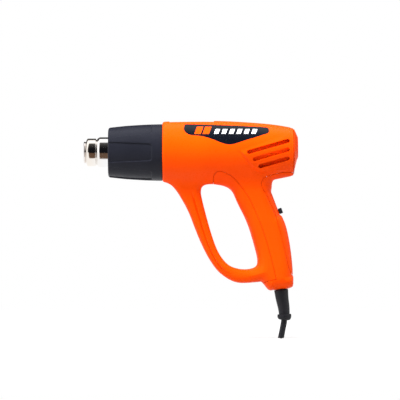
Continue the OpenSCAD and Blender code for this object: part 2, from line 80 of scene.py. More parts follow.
BODY_FRONT = cad_box("housing_left")[0][0]      # front face of the housing
REAR_FACE = CAP_HI[0]                   # flat face that the gun stands on
CAP_JOINT = REAR_FACE - 5.0             # where the rear cap meets the housing
BODY_END = CAP_JOINT - 0.3              # rear end of the housing halves
BODY_Z = 1.2                            # the body's axis lies this far above the nozzle's
HANDLE_HALF = cad_box("front_grip")[1][1]       # half the width of the handle
BOW_HALF = 10.5                         # half the width of the hand-guard bow
WALL = 2.6                              # wall of the body
SKIN = 1.8                              # thickness of the grip inserts
SEAM = 0.32                             # gap between neighbouring mouldings

# Radius of the body along the nozzle axis
BODY_PROFILE = [
    (BODY_FRONT, 35.3), (BODY_FRONT + 4, 36.0), (105, 36.4), (126, 36.7), (147, 36.6), (166, 36.0),
    (184, 35.0), (204, 33.5), (220, 31.8), (237.6, 29.1), (BODY_END, 28.3)]

# The rounded foot, the handle and the bow, seen from the side
FOOT_FRONT = np.array([214.0, -165.5])
FOOT_REAR = np.array([236.0, -163.0])
BOOT_TOP = FOOT_FRONT + 0.585 * (FOOT_REAR - FOOT_FRONT)    # where the cord leaves the foot
CORD_CUT = -222.5                       # the cord is cut off level here
RECESS_LOW = np.array([225.3, -74.3])
RECESS_HIGH = np.array([214.9, -47.0])
BOW_FRONT_POINTS = [
    (85.5, -33.5), (97, -40.5), (106, -53.5), (115.5, -71), (123, -90), (130.4, -108),
    (141.3, -129), (154.5, -145.4), (174.5, -156), (203, -155)]
HANDLE_BACK_POINTS = [
    (240.9, -141), (239.0, -121.7), (236.0, -102.5), (232.3, -87), (227.9, -76.4)]
HOLE_POINTS = [
    (148, -38), (134, -39.5), (130.7, -49), (136, -73), (145.2, -104.5), (153.6, -123.5),
    (165.5, -136.2), (182, -140), (195.4, -137.3), (198.2, -129), (194.2, -111),
    (186.6, -86.5), (176.3, -64), (165.6, -44)]

# Screw bosses between the halves: place seen from the side
BOSSES = [
    (112, -46), (131, -89), (166, -144.6), (208.5, -145), (197.5, -46), (226, 22),
    (226, -20)]
SCREW_SEAT = 5.0                        # the screw heads sit this far right of the parting plane
HEAD_HOLE = 3.1                         # radius of the holes that the screw heads sit in


# ----------------------------------------
# Curves and distance fields
# ----------------------------------------
def spline(points, steps=8, closed=False):
    """A smooth curve through the points, as an array of points."""
    p = np.asarray(points, float)
    n = len(p)
    out = []
    for i in range(n if closed else n - 1):
        near = [i - 1, i, i + 1, i + 2]
        a, b, c, d = (p[k % n] if closed else p[min(max(k, 0), n - 1)] for k in near)
        for t in np.arange(steps) / steps:
            out.append(0.5 * (2 * b + (c - a) * t + (2 * a - 5 * b + 4 * c - d) * t ** 2
                              + (3 * b - a - 3 * c + d) * t ** 3))
    if not closed:
        out.append(p[-1])
    return np.array(out)


def arc(centre, radius, start, end, steps=8):
    """Points of an arc; angles in degrees, counter-clockwise from the first axis."""
    a = np.radians(np.linspace(start, end, steps + 1))
    return np.array(centre) + radius * np.stack([np.cos(a), np.sin(a)], 1)


def run_of(line):
    """Distance from the start of a line to each of its points."""
    gaps = np.linalg.norm(np.diff(line, axis=0), axis=1)
    return np.concatenate([[0], np.cumsum(gaps)])


def points_at(line, distance):
    """The points of a flat line at distances from its start."""
    run = run_of(line)
    return np.stack([np.interp(distance, run, line[:, k]) for k in range(2)], -1)


def outline_distance(outline, u, v):
    """Distance to a closed outline, negative inside it."""
    shape = np.broadcast(u, v).shape
    best = np.full(shape, 1e12)
    inside = np.zeros(shape, bool)
    for (au, av), (bu, bv) in zip(outline, np.roll(outline, -1, 0)):
        eu, ev = bu - au, bv - av
        t = np.clip(((u - au) * eu + (v - av) * ev) / (eu * eu + ev * ev + 1e-12), 0, 1)
        best = np.minimum(best, (u - au - t * eu) ** 2 + (v - av - t * ev) ** 2)
        inside ^= ((av > v) != (bv > v)) & (u < eu * (v - av) / (ev + 1e-12) + au)
    return np.sqrt(best) * np.where(inside, -1, 1)


class Sheet:
    """The distance to an outline, stored on a grid so that any point reads quickly."""

    def __init__(self, outline, step=0.5, margin=16):
        outline = np.asarray(outline, float)
        self.low = outline.min(0) - margin
        self.step = step
        count = np.ceil((np.ptp(outline, axis=0) + 2 * margin) / step).astype(int) + 1
        u = self.low[0] + step * np.arange(count[0])
        v = self.low[1] + step * np.arange(count[1])
        self.values = outline_distance(outline, u[:, None], v[None, :])

    def __call__(self, u, v):
        s = self.values
        a = np.clip((u - self.low[0]) / self.step, 0, s.shape[0] - 1.001)
        b = np.clip((v - self.low[1]) / self.step, 0, s.shape[1] - 1.001)
        i, j = a.astype(int), b.astype(int)
        a, b = a - i, b - j
        return ((s[i, j] * (1 - a) + s[i + 1, j] * a) * (1 - b)
                + (s[i, j + 1] * (1 - a) + s[i + 1, j + 1] * a) * b)


def union(a, b, k=0.0):
    """The union of two solids, blended over k."""
    if np.isscalar(k) and k == 0:
        return np.minimum(a, b)
    h = np.maximum(k - np.abs(a - b), 0) / k
    return np.minimum(a, b) - h * h * k / 4


def common(a, b, k=0.0):
    """What two solids share, with its edge rounded over k."""
    return -union(-a, -b, k)


def step_up(x, low, high):
    """0 below low, 1 above high, smooth in between."""
    t = np.clip((x - low) / (high - low), 0, 1)
    return t * t * (3 - 2 * t)


def rounded_slab(flat, across, half, radius):
    """A flat outline given thickness half to each side, with its edges rounded."""
    qa, qb = flat + radius, across - half + radius
    return (np.sqrt(np.maximum(qa, 0) ** 2 + np.maximum(qb, 0) ** 2)
            + np.minimum(np.maximum(qa, qb), 0) - radius)


def slot_distance(u, v, start, end, half):
    """Distance to a straight slot with round ends."""
    (au, av), (bu, bv) = start, end
    eu, ev = bu - au, bv - av
    t = np.clip(((u - au) * eu + (v - av) * ev) / (eu * eu + ev * ev), 0, 1)
    return np.hypot(u - au - t * eu, v - av - t * ev) - half


# ----------------------------------------
# From a field to a mesh
# ----------------------------------------
def slopes(field, points, eps=0.01):
    """Value and gradient of the field at the points."""
    value = field(*points.T)
    grad = [(field(*(points + eps * e).T) - field(*(points - eps * e).T)) / (2 * eps)
            for e in np.eye(3)]
    return value, np.stack(grad, 1)


def surface(field, low, high, h):
    """Points and quads of the surface where field(x, y, z) is zero.

    Each grid cell that the surface crosses gets one point, placed where the tangent
    planes at the cell's crossed edges meet, so that sharp edges stay sharp.
    """
    low, high = np.asarray(low, float), np.asarray(high, float)
    count = np.ceil((high - low) / h).astype(int) + 1
    ax = [low[i] + h * np.arange(count[i]) for i in range(3)]
    grid = (ax[0][:, None, None], ax[1][None, :, None], ax[2][None, None, :])
    v = np.broadcast_to(field(*grid), tuple(count)).astype(np.float32)
    inside = v < 0
    corners = np.zeros(tuple(count - 1), np.uint8)
    for o in np.ndindex(2, 2, 2):
        corners += inside[tuple(slice(k, k + n - 1) for k, n in zip(o, count))]
    active = (corners > 0) & (corners < 8)
    cell = np.stack(np.nonzero(active), 1)
    index = np.full(active.shape, -1)
    index[active] = np.arange(len(cell))
    quads, owners, planes = [], [], []
    for axis in range(3):
        b, c = (axis + 1) % 3, (axis + 2) % 3
        first = [slice(1, -1)] * 3
        second = [slice(1, -1)] * 3
        first[axis], second[axis] = slice(0, -1), slice(1, None)
        s0, s1 = inside[tuple(first)], inside[tuple(second)]
        edge = np.stack(np.nonzero(s0 != s1), 1)
        if not len(edge):
            continue
        ring = []
        for db, dc in ((0, 0), (1, 0), (1, 1), (0, 1)):
            at = edge.copy()
            at[:, b] += db
            at[:, c] += dc
            ring.append(index[tuple(at.T)])
        ring = np.stack(ring, 1)
        flip = s1[tuple(edge.T)]
        quads.append(np.where(flip[:, None], ring[:, ::-1], ring))
        start = edge + 1
        start[:, axis] -= 1
        along = np.eye(3, dtype=int)[axis]
        f0, f1 = v[tuple(start.T)], v[tuple((start + along).T)]
        point = low + h * (start + (f0 / (f0 - f1))[:, None] * along)
        value, grad = slopes(field, point)
        size = np.linalg.norm(grad, axis=1) + 1e-9
        normal = grad / size[:, None]
        planes.append(np.hstack([normal, point, (value / size)[:, None]]))
        owners.append(ring)
    planes, owners = np.concatenate(planes), np.concatenate(owners)
    who = owners.ravel()
    plane = np.repeat(planes, 4, axis=0)
    normal, point, value = plane[:, :3], plane[:, 3:6], plane[:, 6]
    n = len(cell)

    def gather(weights):
        return np.bincount(who, weights, n)

    hits = gather(np.ones(len(who)))
    middle = np.stack([gather(point[:, i]) for i in range(3)], 1) / hits[:, None]
    offset = (normal * (point - middle[who])).sum(1) - value
    matrix = np.zeros((n, 3, 3))
    right = np.zeros((n, 3))
    for i in range(3):
        right[:, i] = gather(normal[:, i] * offset)
        for j in range(i, 3):
            matrix[:, i, j] = matrix[:, j, i] = gather(normal[:, i] * normal[:, j])
        matrix[:, i, i] += 0.04 * hits
    place = middle + np.linalg.solve(matrix, right[:, :, None])[:, :, 0]
    corner = low + h * cell
    place = np.clip(place, corner + 0.02 * h, corner + 0.98 * h)
    return place, np.concatenate(quads)


MATERIALS = {}                          # every finish by its name


def new_object(name, mesh, body, finish, replaced=()):
    """Adds a mesh to the scene as a piece that rides on a body.
    """
    piece = bpy.data.objects.new(name, mesh)
    bpy.context.scene.collection.objects.link(piece)
    mesh.materials.append(MATERIALS[finish])
    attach(piece, body)
    if replaced:
        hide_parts(*replaced)


def make_mesh(name, points, faces):
    """A mesh from points in millimetres."""
    mesh = bpy.data.meshes.new(name)
    faces = faces.tolist() if isinstance(faces, np.ndarray) else faces
    mesh.from_pydata((np.asarray(points) * MM).tolist(), [], faces)
    mesh.validate()
    return mesh


def shade(mesh, sharp=38):
    """Smooth shading, broken at edges sharper than an angle in degrees."""
    mesh.shade_smooth()
    mesh.set_sharp_from_angle(angle=math.radians(sharp))


def outward(mesh):
    """Turns the faces of a closed mesh to face outwards."""
    bm = bmesh.new()
    bm.from_mesh(mesh)
    bmesh.ops.recalc_face_normals(bm, faces=bm.faces)
    bm.to_mesh(mesh)
    bm.free()


def carve(name, field, low, high, h, body, finish, replaced):
    """A piece made from a distance field, sampled every h millimetres."""
    mesh = make_mesh(name, *surface(field, low, high, h))
    shade(mesh)
    new_object(name, mesh, body, finish, (replaced,))


def model(name, points, faces, finish, replaced=(), slot=None, sharp=38):
    """A fixed piece made from points and faces."""
    mesh = make_mesh(name, points, faces)
    outward(mesh)
    shade(mesh, sharp)
    new_object(name, mesh, "root", finish, replaced)


# ----------------------------------------
# The shape of the housing
# ----------------------------------------
body_curve = spline(BODY_PROFILE, 8)

# Outlines seen from the side: the handle with its bow, the hole in it, the inner face of
# the bow's rim, the raised vent pad, and the grip inserts at the front and the rear
grip_sheet = Sheet(np.vstack([
    [(217, -12), (90, -12)], spline(BOW_FRONT_POINTS, 6),
    [(205.8, -158)], spline([(209.0, -162.0), (211.2, -164.4), FOOT_FRONT], 3),
    [FOOT_REAR], spline([(238.8, -162), (241.2, -160.4), (242.7, -157), (243.2, -153),
                         (242.6, -149.5), (241.0, -147.2)], 3),
    spline(HANDLE_BACK_POINTS, 6), [RECESS_LOW, RECESS_HIGH],
    spline([(215.5, -43), (215.6, -37.5), (216.9, -33.6), (220.2, -31.7), (226, -30.3),
            (232, -28.8), (237, -27.4)], 4)]))
hole_sheet = Sheet(spline(HOLE_POINTS, 8, closed=True))
crease_sheet = Sheet(np.vstack([
    spline([(119, -42), (126, -68), (136, -101), (141.5, -115), (149, -130), (158, -141),
            (168, -147.5)], 8), [(200, -147.5), (200, -42)]]))
pad_sheet = Sheet([(176.8, 2.5), (192.6, -17.4), (199.4, -23.6), (206, -24.5), (246, -21),
                   (246, 24), (232, 22), (200, 11)])
front_sheet = Sheet(np.vstack([
    spline([(145.8, -45), (145.8, -34), (147, -26.5), (151.7, -22.7), (158.5, -24), (168, -29.2),
            (177.4, -39.2), (188.4, -54.8), (195.7, -70.4), (202, -85.2), (207.6, -101.6),
            (214, -123.7), (220.6, -152)], 6),
    spline([(220.6, -152), (214.3, -153.1), (209.2, -154.8), (203.5, -156.8)], 3),
    [(196, -160), (190, -146), (186, -130)]]))
rear_sheet = Sheet(np.vstack([
    [(250, -24), (228, -24)],
    spline([(226.9, -24.5), (213, -27.7), (206.2, -30.5), (203.4, -35.5), (203.4, -39.2),
            (205.4, -44.3), (209.4, -50.8), (216.7, -67.2), (219.5, -73.2), (223.6, -86.9),
            (228.7, -106.3), (233.4, -126.5), (236.2, -139.2), (240.1, -146.4)], 5),
    [(250, -150)]]))


def body_radius(x):
    """Radius of the body at a place along the axis."""
    return np.interp(x, *body_curve.T)


def body_field(x, y, z):
    """The round body: a raised strip on top, raised vent pads and a rear step."""
    ay = np.abs(y)
    steepness = 0.985                   # brings the slope of the field back to about 1
    shell = (np.sqrt(y ** 2 + (z - BODY_Z) ** 2) - body_radius(x)) * steepness
    strip = step_up(z, 30, 33) * step_up(-ay, -7.0, -5.5) * step_up(x, 146.5, 148)
    edge = pad_sheet(x, z)
    # how far a point lies below the pad's upper edge, which the pad fades into
    under = (x - 176.8) * 0.333 - (z - 2.5) * 0.943
    pad = step_up(-edge, -1.0, 1.4) * step_up(under, 0, 8) * step_up(-x, -237, -222)
    ditch = np.exp(-((edge - 1.9) / 1.5) ** 2) * step_up(-x, -220, -203) * step_up(-z, -4, 3)
    relief = (0.55 * ditch - 1.5 * pad) * step_up(ay, 12, 16)
    band = step_up(x, 237.9, 238.4) * step_up(-x, -(BODY_END + 0.3), -BODY_END)
    return shell - 0.45 * strip + relief + 0.6 * band


def outer_field(x, y, z):
    """The outer surface of the housing, with the grip inserts in place."""
    ay = np.abs(y)
    side = common(grip_sheet(x, z), -hole_sheet(x, z))
    # distance behind the line that parts the bow from the handle, which is wider
    behind = ((x - 157) * 101 + (z + 38) * 35) / 107
    share = step_up(behind, -14, 14)
    bow_round, handle_round = 7.8, 14.5
    grip = rounded_slab(side, ay, BOW_HALF + (HANDLE_HALF - BOW_HALF) * share,
                        bow_round + (handle_round - bow_round) * share)
    # a raised rim along the inside of the bow, with a groove beside it
    crease = crease_sheet(x, z)
    fade = step_up(-z, 44, 58) * step_up(z, -147, -136) * step_up(-x, -188, -166)
    fade = fade * step_up(ay, 3, 6)
    rim = 1.3 * step_up(-crease, -0.8, 1.6)
    grip = grip - (rim - 1.2 * np.exp(-((crease - 0.4) / 1.1) ** 2)) * fade
    # shallow finger ribs across the back of the foot
    ribs = (0.3 * (1 + np.cos(2 * np.pi * (z + 148.6) / 3.3)) / 2
            * step_up(x, 236, 239) * step_up(-z, 147, 148.6) * step_up(z, -160, -158.6))
    both = union(body_field(x, y, z), grip + ribs, 15)
    # seen from the side, the blend adds little to the outlines of the body and the handle
    silhouette = union(np.abs(z - BODY_Z) - body_radius(x), side, 3)
    both = common(both, silhouette - 0.3, 0.6)
    both = common(both, BODY_FRONT - x, 2.6)
    return common(both, x - BODY_END, 1.4)


def seam_depth(x, z):
    """1 where an insert's seam shows, and 0 where it runs on smoothly into the bow."""
    return np.maximum(step_up(x, 196, 204), step_up(z, -128, -118))


def insert_cut(outer, sheet, x, z, grow):
    """The layer under the surface that a grip insert fills, grown by a gap."""
    return np.maximum(sheet(x, z) - grow, -(outer + SKIN + grow))


def switch_frame(x, z):
    """Position of a point relative to the switch: outwards, and along its slide."""
    along = (RECESS_HIGH - RECESS_LOW) / np.linalg.norm(RECESS_HIGH - RECESS_LOW)
    start = RECESS_LOW + 3.8 * along
    dx, dz = x - start[0], z - start[1]
    return dx * along[1] - dz * along[0], dx * along[0] + dz * along[1]


def switch_slot(x, y, z):
    """The opening that the switch button's stem slides in."""
    out, up = switch_frame(x, z)
    middle, half_length, half_width = 5.0, 7.6, 3.6
    flat = np.maximum(np.abs(up - middle) - half_length, np.abs(y) - half_width)
    return common(flat, np.maximum(out - 8, -12 - out), 0.5)


def vents(outer, x, y, z):
    """Three slanted slots on each side, through the wall; each lower one is shorter."""
    slant = math.radians(16)
    spacing, longest, shorter, half, depth = 10.4, 48.0, 7.1, 2.35, 4.4
    cut = 1e3
    for i in range(3):
        end = np.array([234.2, 13.4 - spacing * i])
        start = end - (longest - shorter * i) * np.array([math.cos(slant), math.sin(slant)])
        cut = np.minimum(cut, slot_distance(x, z, start, end, half))
    return np.maximum(np.maximum(cut, 14 - np.abs(y)), -(outer + depth))


def hollow_field(outer, x, y, z):
    """The space inside the housing."""
    wall = WALL + 1.8 * step_up(-z, 28, 44)
    inner = outer + wall
    bore = common(np.sqrt(y ** 2 + (z - BODY_Z) ** 2) - body_radius(x) + WALL,
                  BODY_FRONT - 1 - x)
    return np.minimum(inner, bore)


# Start, end and inner radius of the ring ribs inside the body
RIBS = [
    (BODY_FRONT, BODY_FRONT + 4, 30.3), (101.6, 103.8, 29.4), (108.3, 110, 29.4),
    (132, 134, 29.0), (144, 146, 29.0)]


def inner_ribs(x, y, z):
    """Ring ribs that hold the guard, the heater and the shroud, and the vent baffles."""
    r = np.sqrt(y ** 2 + z ** 2)
    ribs = 1e3
    for start, end, inner in RIBS:
        ring = np.maximum(np.maximum(start - x, x - end), np.maximum(inner - r, r - 36))
        ribs = np.minimum(ribs, ring)
    channel = np.maximum(np.maximum(np.abs(y) - 7, z + 26), 98 - x)
    ribs = np.maximum(ribs, -channel)
    depth = body_radius(x) - np.sqrt(y ** 2 + (z - BODY_Z) ** 2)
    baffle = np.maximum(np.abs(x - 210) - 27, np.abs(depth - 6.6) - 0.8)
    baffle = np.maximum(baffle, np.abs(z - BODY_Z) - 23.5)
    return np.minimum(ribs, baffle)


def cord_frame(x, z):
    """Position of a point relative to the cord's entry: sideways, and up the cord."""
    run = (FOOT_REAR - FOOT_FRONT) / np.linalg.norm(FOOT_REAR - FOOT_FRONT)
    dx, dz = x - BOOT_TOP[0], z - BOOT_TOP[1]
    return dx * run[0] + dz * run[1], -dx * run[1] + dz * run[0]


def top_land(x, y, margin):
    """The strip in the top of the housing that the inset lies in."""
    middle, half_length, half_width = 119.5, 26.3, 8
    return np.maximum(np.abs(x - middle) - half_length, np.abs(y) - half_width) - margin


def housing_field(right):
    """The field of one housing half, with its bosses, openings and parting face."""
    sign = 1 if right else -1
    boss_radius, clear_hole, thread_hole = 4.4, 1.7, 1.5
    cord_hole = 6.5

    def field(x, y, z):
        outer = outer_field(x, y, z)
        shell = common(outer, -hollow_field(outer, x, y, z), 0.4)
        boss = 1e3
        for bx, bz in BOSSES:
            boss = np.minimum(boss, np.hypot(x - bx, z - bz) - boss_radius)
        solid = union(shell, np.maximum(np.minimum(boss, inner_ribs(x, y, z)), outer + 0.9), 0.6)
        solid = common(solid, -vents(outer, x, y, z), 0.7)
        solid = common(solid, -switch_slot(x, y, z), 0.4)
        side, up = cord_frame(x, z)
        solid = common(solid, -np.maximum(np.hypot(side, y) - cord_hole, up - 9), 0.4)
        land = np.maximum(top_land(x, y, 0.25), -(body_field(x, y, z) + 1.75))
        solid = common(solid, -np.maximum(land, 20 - z), 0.5)
        seam = seam_depth(x, z)
        for sheet in (front_sheet, rear_sheet):
            cut = insert_cut(outer, sheet, x, z, SEAM * seam)
            solid = common(solid, -cut, np.maximum(0.55 * seam, 0.02))
        for bx, bz in BOSSES:
            reach = np.hypot(x - bx, z - bz)
            if right:
                hole = np.minimum(np.maximum(reach - HEAD_HOLE, SCREW_SEAT - y),
                                  np.maximum(reach - clear_hole, y - 40))
            else:
                hole = np.maximum(reach - thread_hole, -8.5 - y)
            solid = common(solid, -hole, 0.3)
        return common(solid, SEAM / 2 - sign * y, 0.6)
    return field


# ----------------------------------------
# Shapes turned about an axis or drawn along a path
# ----------------------------------------
def straight(s):
    """The nozzle axis: centre and the two directions across it."""
    return np.array([s, 0, 0.0]), np.array([0, 1.0, 0]), np.array([0, 0, 1.0])


def ring_quads(rings, segments, closed):
    """Quads between neighbouring rings of points, and from the last to the first if closed."""
    faces = []
    for i in range(rings if closed else rings - 1):
        a, b = i * segments, (i + 1) % rings * segments
        for k in range(segments):
            m = (k + 1) % segments
            faces.append((a + k, a + m, b + m, b + k))
    return faces


def lathe(profile, frame_at=straight, segments=128):
    """Points and quads of a closed profile of (place, radius) turned about an axis."""
    angle = 2 * np.pi * np.arange(segments) / segments
    rings = []
    for s, r in profile:
        centre, u, v = frame_at(s)
        rings.append(centre + r * (np.cos(angle)[:, None] * u + np.sin(angle)[:, None] * v))
    return np.concatenate(rings), ring_quads(len(rings), segments, True)


def tube(path, radius, segments=24):
    """Points and faces of a round wire along a path of 3-D points, with flat ends."""
    path = np.asarray(path, float)
    tangent = np.gradient(path, axis=0)
    tangent /= np.linalg.norm(tangent, axis=1)[:, None]
    across = np.cross(tangent[0], [0.31, 0.87, 0.38])    # any direction off the path will do
    angle = 2 * np.pi * np.arange(segments) / segments
    points = []
    for p, t in zip(path, tangent):
        across = across - across.dot(t) * t
        across /= np.linalg.norm(across)
        other = np.cross(t, across)
        points.append(p + radius * (np.cos(angle)[:, None] * across
                                    + np.sin(angle)[:, None] * other))
    faces = ring_quads(len(path), segments, False)
    last = (len(path) - 1) * segments
    faces.append(tuple(range(segments))[::-1])
    faces.append(tuple(last + k for k in range(segments)))
    return np.concatenate(points), faces


def joined(parts):
    """Several sets of points and faces as one."""
    points, faces, base = [], [], 0
    for p, f in parts:
        points.append(np.asarray(p))
        faces += [tuple(int(base + i) for i in face) for face in f]
        base += len(p)
    return np.concatenate(points), faces


# ----------------------------------------
# Materials
# ----------------------------------------
class Nodes:
    """Short names for the shader nodes that the materials are made of."""

    def __init__(self, tree):
        self.tree = tree
        self.place = tree.nodes.new("ShaderNodeTexCoord").outputs["Object"]

    def axes(self, vector):
        """The three parts of a vector."""
        node = self.tree.nodes.new("ShaderNodeSeparateXYZ")
        self.tree.links.new(vector, node.inputs[0])
        return node.outputs

    def put(self, kind, **inputs):
        """A shader node with its inputs set or linked."""
        node = self.tree.nodes.new("ShaderNode" + kind)
        for key, value in inputs.items():
            self.feed(node, key.replace("_", " "), value)
        return node

    def feed(self, node, key, value):
        """Sets one input of a node, or links it to another node's output."""
        if isinstance(value, bpy.types.NodeSocket):
            self.tree.links.new(value, node.inputs[key])
        elif isinstance(value, tuple) and len(value) == 3 and node.inputs[key].type == "RGBA":
            node.inputs[key].default_value = (*value, 1)
        else:
            node.inputs[key].default_value = value

    def noise(self, scale, detail=3.0, stretch=(1, 1, 1)):
        """Noise with features about 1/scale metres across."""
        vector = self.put("Mapping", Vector=self.place, Scale=stretch).outputs[0]
        return self.put("TexNoise", Vector=vector, Scale=scale, Detail=detail).outputs[0]

    def ramp(self, value, low, high, start=0.0, end=1.0):
        """Runs from start to end while value goes from low to high."""
        node = self.tree.nodes.new("ShaderNodeMapRange")
        node.interpolation_type = "SMOOTHSTEP"
        for key, v in zip(("Value", "From Min", "From Max", "To Min", "To Max"),
                          (value, low, high, start, end)):
            self.feed(node, key, v)
        return node.outputs[0]

    def math(self, kind, a, b=0.0):
        """A sum, product or other function of two values."""
        node = self.tree.nodes.new("ShaderNodeMath")
        node.operation = kind
        self.feed(node, 0, a)
        self.feed(node, 1, b)
        return node.outputs[0]

    def mix(self, factor, a, b):
        """The colour a where factor is 0, and b where it is 1."""
        node = self.tree.nodes.new("ShaderNodeMix")
        node.data_type = "RGBA"
        self.feed(node, 0, factor)
        for key, v in ((6, a), (7, b)):
            self.feed(node, key, (*v, 1) if isinstance(v, tuple) else v)
        return node.outputs[2]


def empty_material(name):
    """A new material without nodes, and the short names for filling it."""
    m = bpy.data.materials.new(name)
    m.use_nodes = True
    m.node_tree.nodes.clear()
    return m, Nodes(m.node_tree)


def material(name, colour, deep, rough, metal=0.0, grain=(3000, 0.03), wear=0.0,
             worn=None, streak=(1, 1, 1), paint=None, shine=0.4, tinge=(1.0, 1.0, 1.0),
             crease_shade=None):
    """A surface with blotchy colour, uneven roughness, fine grain and worn edges.

    colour and deep are mixed by soft blotches. grain is the scale and depth of the bump.
    paint is a function that may change the colour and the roughness. shine and tinge
    are the strength and the colour of the reflections of a plastic. crease_shade is the
    colour of the shade painted into concave creases.
    """
    m, n = empty_material(name)
    tree = n.tree
    blotch = n.ramp(n.noise(28), 0.3, 0.75)
    fine = n.noise(420, 5.0, streak)
    tint = n.mix(blotch, colour, deep)
    tint = n.mix(n.ramp(fine, 0.35, 0.8, 0.0, 0.22), tint, deep)
    bend = tree.nodes.new("ShaderNodeNewGeometry").outputs["Pointiness"]
    # painted shade: concave creases, found by low pointiness, are darkened towards the crease
    # colour
    if crease_shade:
        tint = n.mix(n.ramp(bend, 0.478, 0.43, 0.0, 0.7), tint, crease_shade)
    roughness = n.ramp(fine, 0.25, 0.75, rough - 0.06, rough + 0.07)
    if wear:
        broken = n.math("MULTIPLY", n.ramp(bend, 0.53, 0.62), n.ramp(n.noise(150), 0.45, 0.62))
        tint = n.mix(n.math("MULTIPLY", broken, wear), tint, worn or colour)
    if paint:
        tint, roughness = paint(n, tint, roughness)
    bump = n.put("Bump", Height=n.noise(grain[0], 4.0, streak), Strength=1.0,
                 Distance=grain[1] * MM)
    bsdf = n.put("BsdfPrincipled", Roughness=roughness, Metallic=metal,
                 Normal=bump.outputs[0], **{"Specular IOR Level": shine})
    n.feed(bsdf, "Base Color", tint)
    n.feed(bsdf, "Specular Tint", tinge)
    out = tree.nodes.new("ShaderNodeOutputMaterial")
    tree.links.new(bsdf.outputs[0], out.inputs[0])
    MATERIALS[name] = m


def heat_tint(n, tint, roughness):
    """Straw and blue tempering colours near the hot outlet."""
    along = n.math("ADD", n.axes(n.place)[0], n.math("MULTIPLY", n.noise(60), 0.006))
    straw = n.ramp(along, 0.022, -0.004, 0.0, 0.3)
    blue = n.ramp(along, -0.001, -0.009, 0.0, 0.25)
    tint = n.mix(straw, tint, (0.80, 0.62, 0.38))
    return n.mix(blue, tint, (0.42, 0.42, 0.62)), roughness


def stripes(pitch, start, strength, dark):
    """A paint of fine dark lines across the nozzle axis, such as stacked sheets show."""
    def paint(n, tint, roughness):
        wave = n.math("SINE", n.math("MULTIPLY", n.axes(n.place)[0], 2 * math.pi / pitch))
        return n.mix(n.ramp(wave, start, 1.0, 0.0, strength), tint, dark), roughness
    return paint


ORANGE_SHEEN = (1.0, 0.65, 0.3)
# painted shade: the dark red that the creases of the orange plastics are darkened towards
ORANGE_CREASE_SHADE = (0.45, 0.012, 0.0)
material("orange_plastic", (1.0, 0.073, 0.0), (0.97, 0.065, 0.0), 0.30, wear=0.3,
         worn=(1.0, 0.12, 0.01), grain=(2600, 0.014), shine=0.15, tinge=ORANGE_SHEEN,
         crease_shade=ORANGE_CREASE_SHADE)
material("orange_grip", (1.0, 0.072, 0.0), (0.97, 0.063, 0.0), 0.38, wear=0.2,
         worn=(1.0, 0.11, 0.01), grain=(1500, 0.03), shine=0.14, tinge=ORANGE_SHEEN,
         crease_shade=ORANGE_CREASE_SHADE)
material("guard_plastic", (0.0130, 0.0138, 0.021), (0.0105, 0.0112, 0.017), 0.40,
         wear=0.5, worn=(0.07, 0.08, 0.10), grain=(2200, 0.03), shine=0.15)
material("nozzle_steel", (0.86, 0.86, 0.87), (0.78, 0.78, 0.79), 0.09, metal=1.0,
         grain=(5200, 0.003), streak=(1, 0.12, 0.12), paint=heat_tint)
material("decal_black", (0.004, 0.005, 0.010), (0.002, 0.003, 0.006), 0.30,
         grain=(2400, 0.006), shine=0.2)
material("decal_marks", (0.86, 0.87, 0.90), (0.78, 0.79, 0.83), 0.30, grain=(2400, 0.006))
material("black_plastic", (0.020, 0.021, 0.026), (0.012, 0.013, 0.017), 0.40, wear=0.5,
         worn=(0.08, 0.08, 0.09), grain=(2400, 0.03))
material("black_rubber", (0.013, 0.013, 0.016), (0.009, 0.009, 0.011), 0.50,
         grain=(1800, 0.05), shine=0.2)
material("screw_steel", (0.30, 0.30, 0.31), (0.20, 0.20, 0.21), 0.32, metal=1.0,
         grain=(3200, 0.01))
material("mica_sheet", (0.62, 0.52, 0.34), (0.44, 0.36, 0.24), 0.35, streak=(0.2, 1, 1),
         grain=(900, 0.05))
material("heating_wire", (0.36, 0.33, 0.31), (0.20, 0.17, 0.16), 0.45, metal=1.0,
         grain=(4000, 0.01))
material("ceramic_white", (0.80, 0.78, 0.72), (0.68, 0.64, 0.56), 0.60, grain=(1300, 0.05))
material("brass_parts", (0.72, 0.50, 0.20), (0.56, 0.37, 0.13), 0.30, metal=1.0,
         grain=(3000, 0.01))
material("motor_steel", (0.56, 0.57, 0.58), (0.42, 0.43, 0.44), 0.30, metal=1.0,
         streak=(1, 0.2, 0.2), grain=(2600, 0.01))
material("lamination_steel", (0.40, 0.40, 0.41), (0.28, 0.28, 0.29), 0.35, metal=1.0,
         paint=stripes(0.7 * MM, 0.5, 0.7, (0.05, 0.05, 0.05)))
material("magnet", (0.055, 0.055, 0.06), (0.035, 0.035, 0.04), 0.62, grain=(1500, 0.06))
material("copper_winding", (0.60, 0.22, 0.09), (0.42, 0.13, 0.05), 0.28, metal=0.9,
         paint=stripes(0.5 * MM, 0.2, 0.8, (0.12, 0.03, 0.01)))
material("carbon", (0.03, 0.03, 0.03), (0.018, 0.018, 0.018), 0.65, grain=(1800, 0.06))
material("board_green", (0.025, 0.13, 0.05), (0.014, 0.08, 0.03), 0.35, grain=(900, 0.02))
material("film_yellow", (0.66, 0.38, 0.07), (0.52, 0.27, 0.04), 0.35, grain=(1200, 0.03))
material("white_plastic", (0.74, 0.73, 0.69), (0.62, 0.61, 0.57), 0.42, grain=(2200, 0.03))
material("lead_brown", (0.16, 0.06, 0.03), (0.10, 0.035, 0.018), 0.42, grain=(2200, 0.02))


# ----------------------------------------
# Housing
# ----------------------------------------
def build_housing():
    """The two halves, with the left half towards -Y."""
    for side, name in ((0, "housing_left"), (1, "housing_right")):
        lo = np.array([BODY_FRONT - 2, -1.7 if side else -38.5, -168])
        hi = np.array([244.5, 38.5 if side else 1.7, 40])
        carve(name + "_moulding", housing_field(bool(side)), lo, hi, 0.8, "root",
              "orange_plastic", name)


